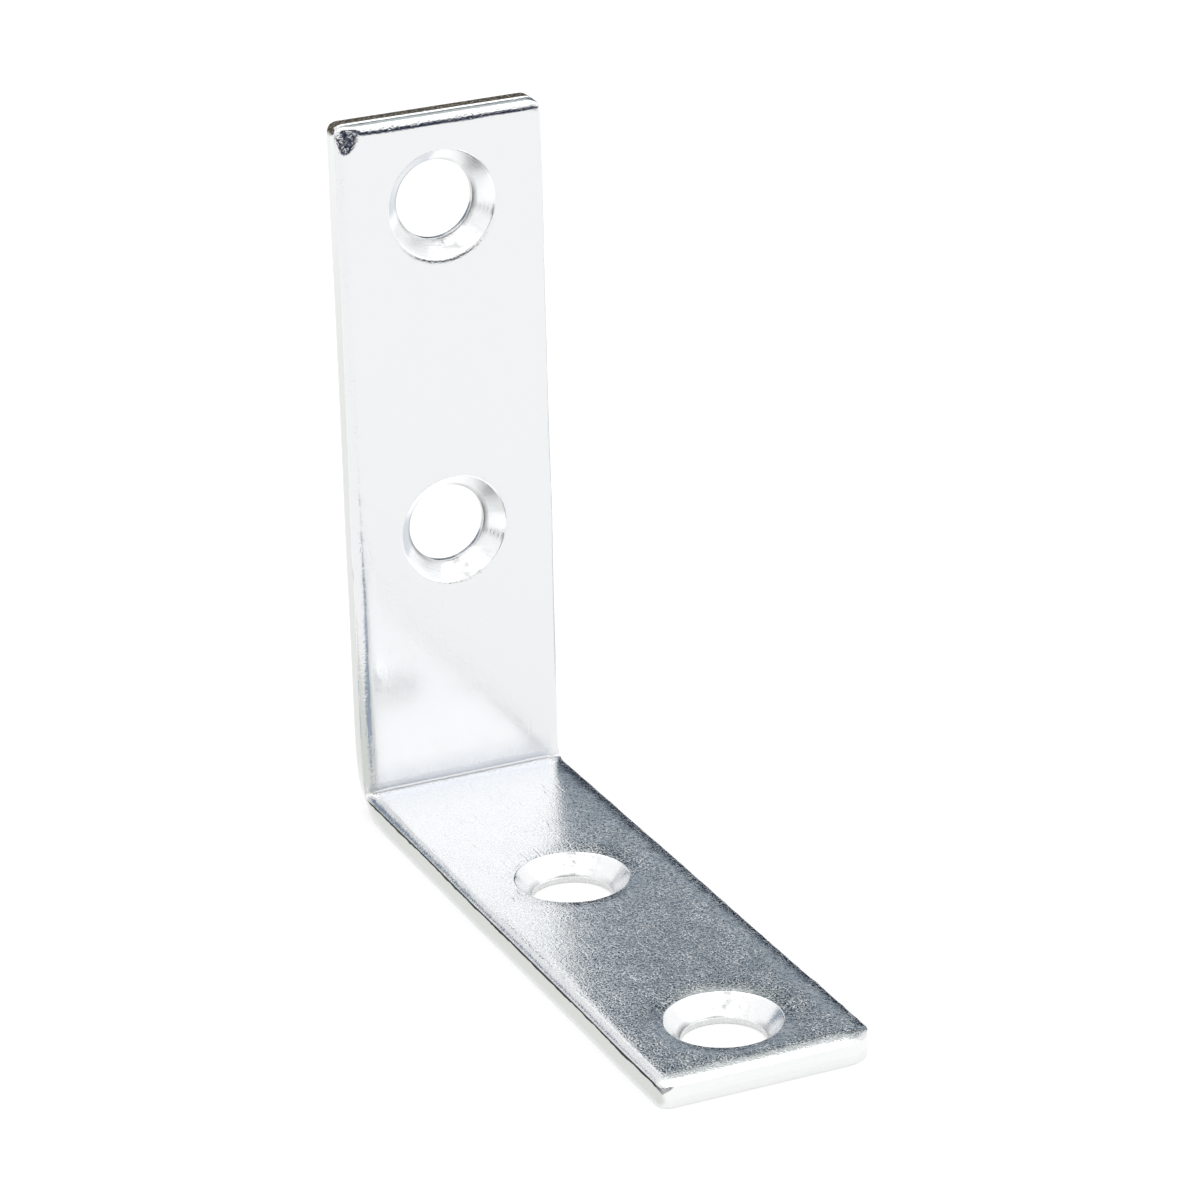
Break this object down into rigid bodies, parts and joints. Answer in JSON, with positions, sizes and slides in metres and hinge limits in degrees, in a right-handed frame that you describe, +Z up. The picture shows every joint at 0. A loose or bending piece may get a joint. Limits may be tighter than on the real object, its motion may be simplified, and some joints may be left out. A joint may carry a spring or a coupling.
{
  "type": "angle bracket",
  "caption": "Folded steel angle bracket with two equal legs, rolled edges and countersunk screw holes on the inner faces.",
  "frame": {"origin": "middle of the base leg's underside, halfway along the leg and across the strip", "axes": "+X from the upright towards the base leg's free end, +Y across the strip's width, +Z up along the upright leg"},
  "size_m": [0.051, 0.015, 0.051],
  "materials": {
    "zinc_plated_steel": "bright zinc plate, clear passivated, satin from tumbling"
  },
  "bodies": {
    "root": {"angle_bracket": "zinc_plated_steel"}
  },
  "joints": []
}
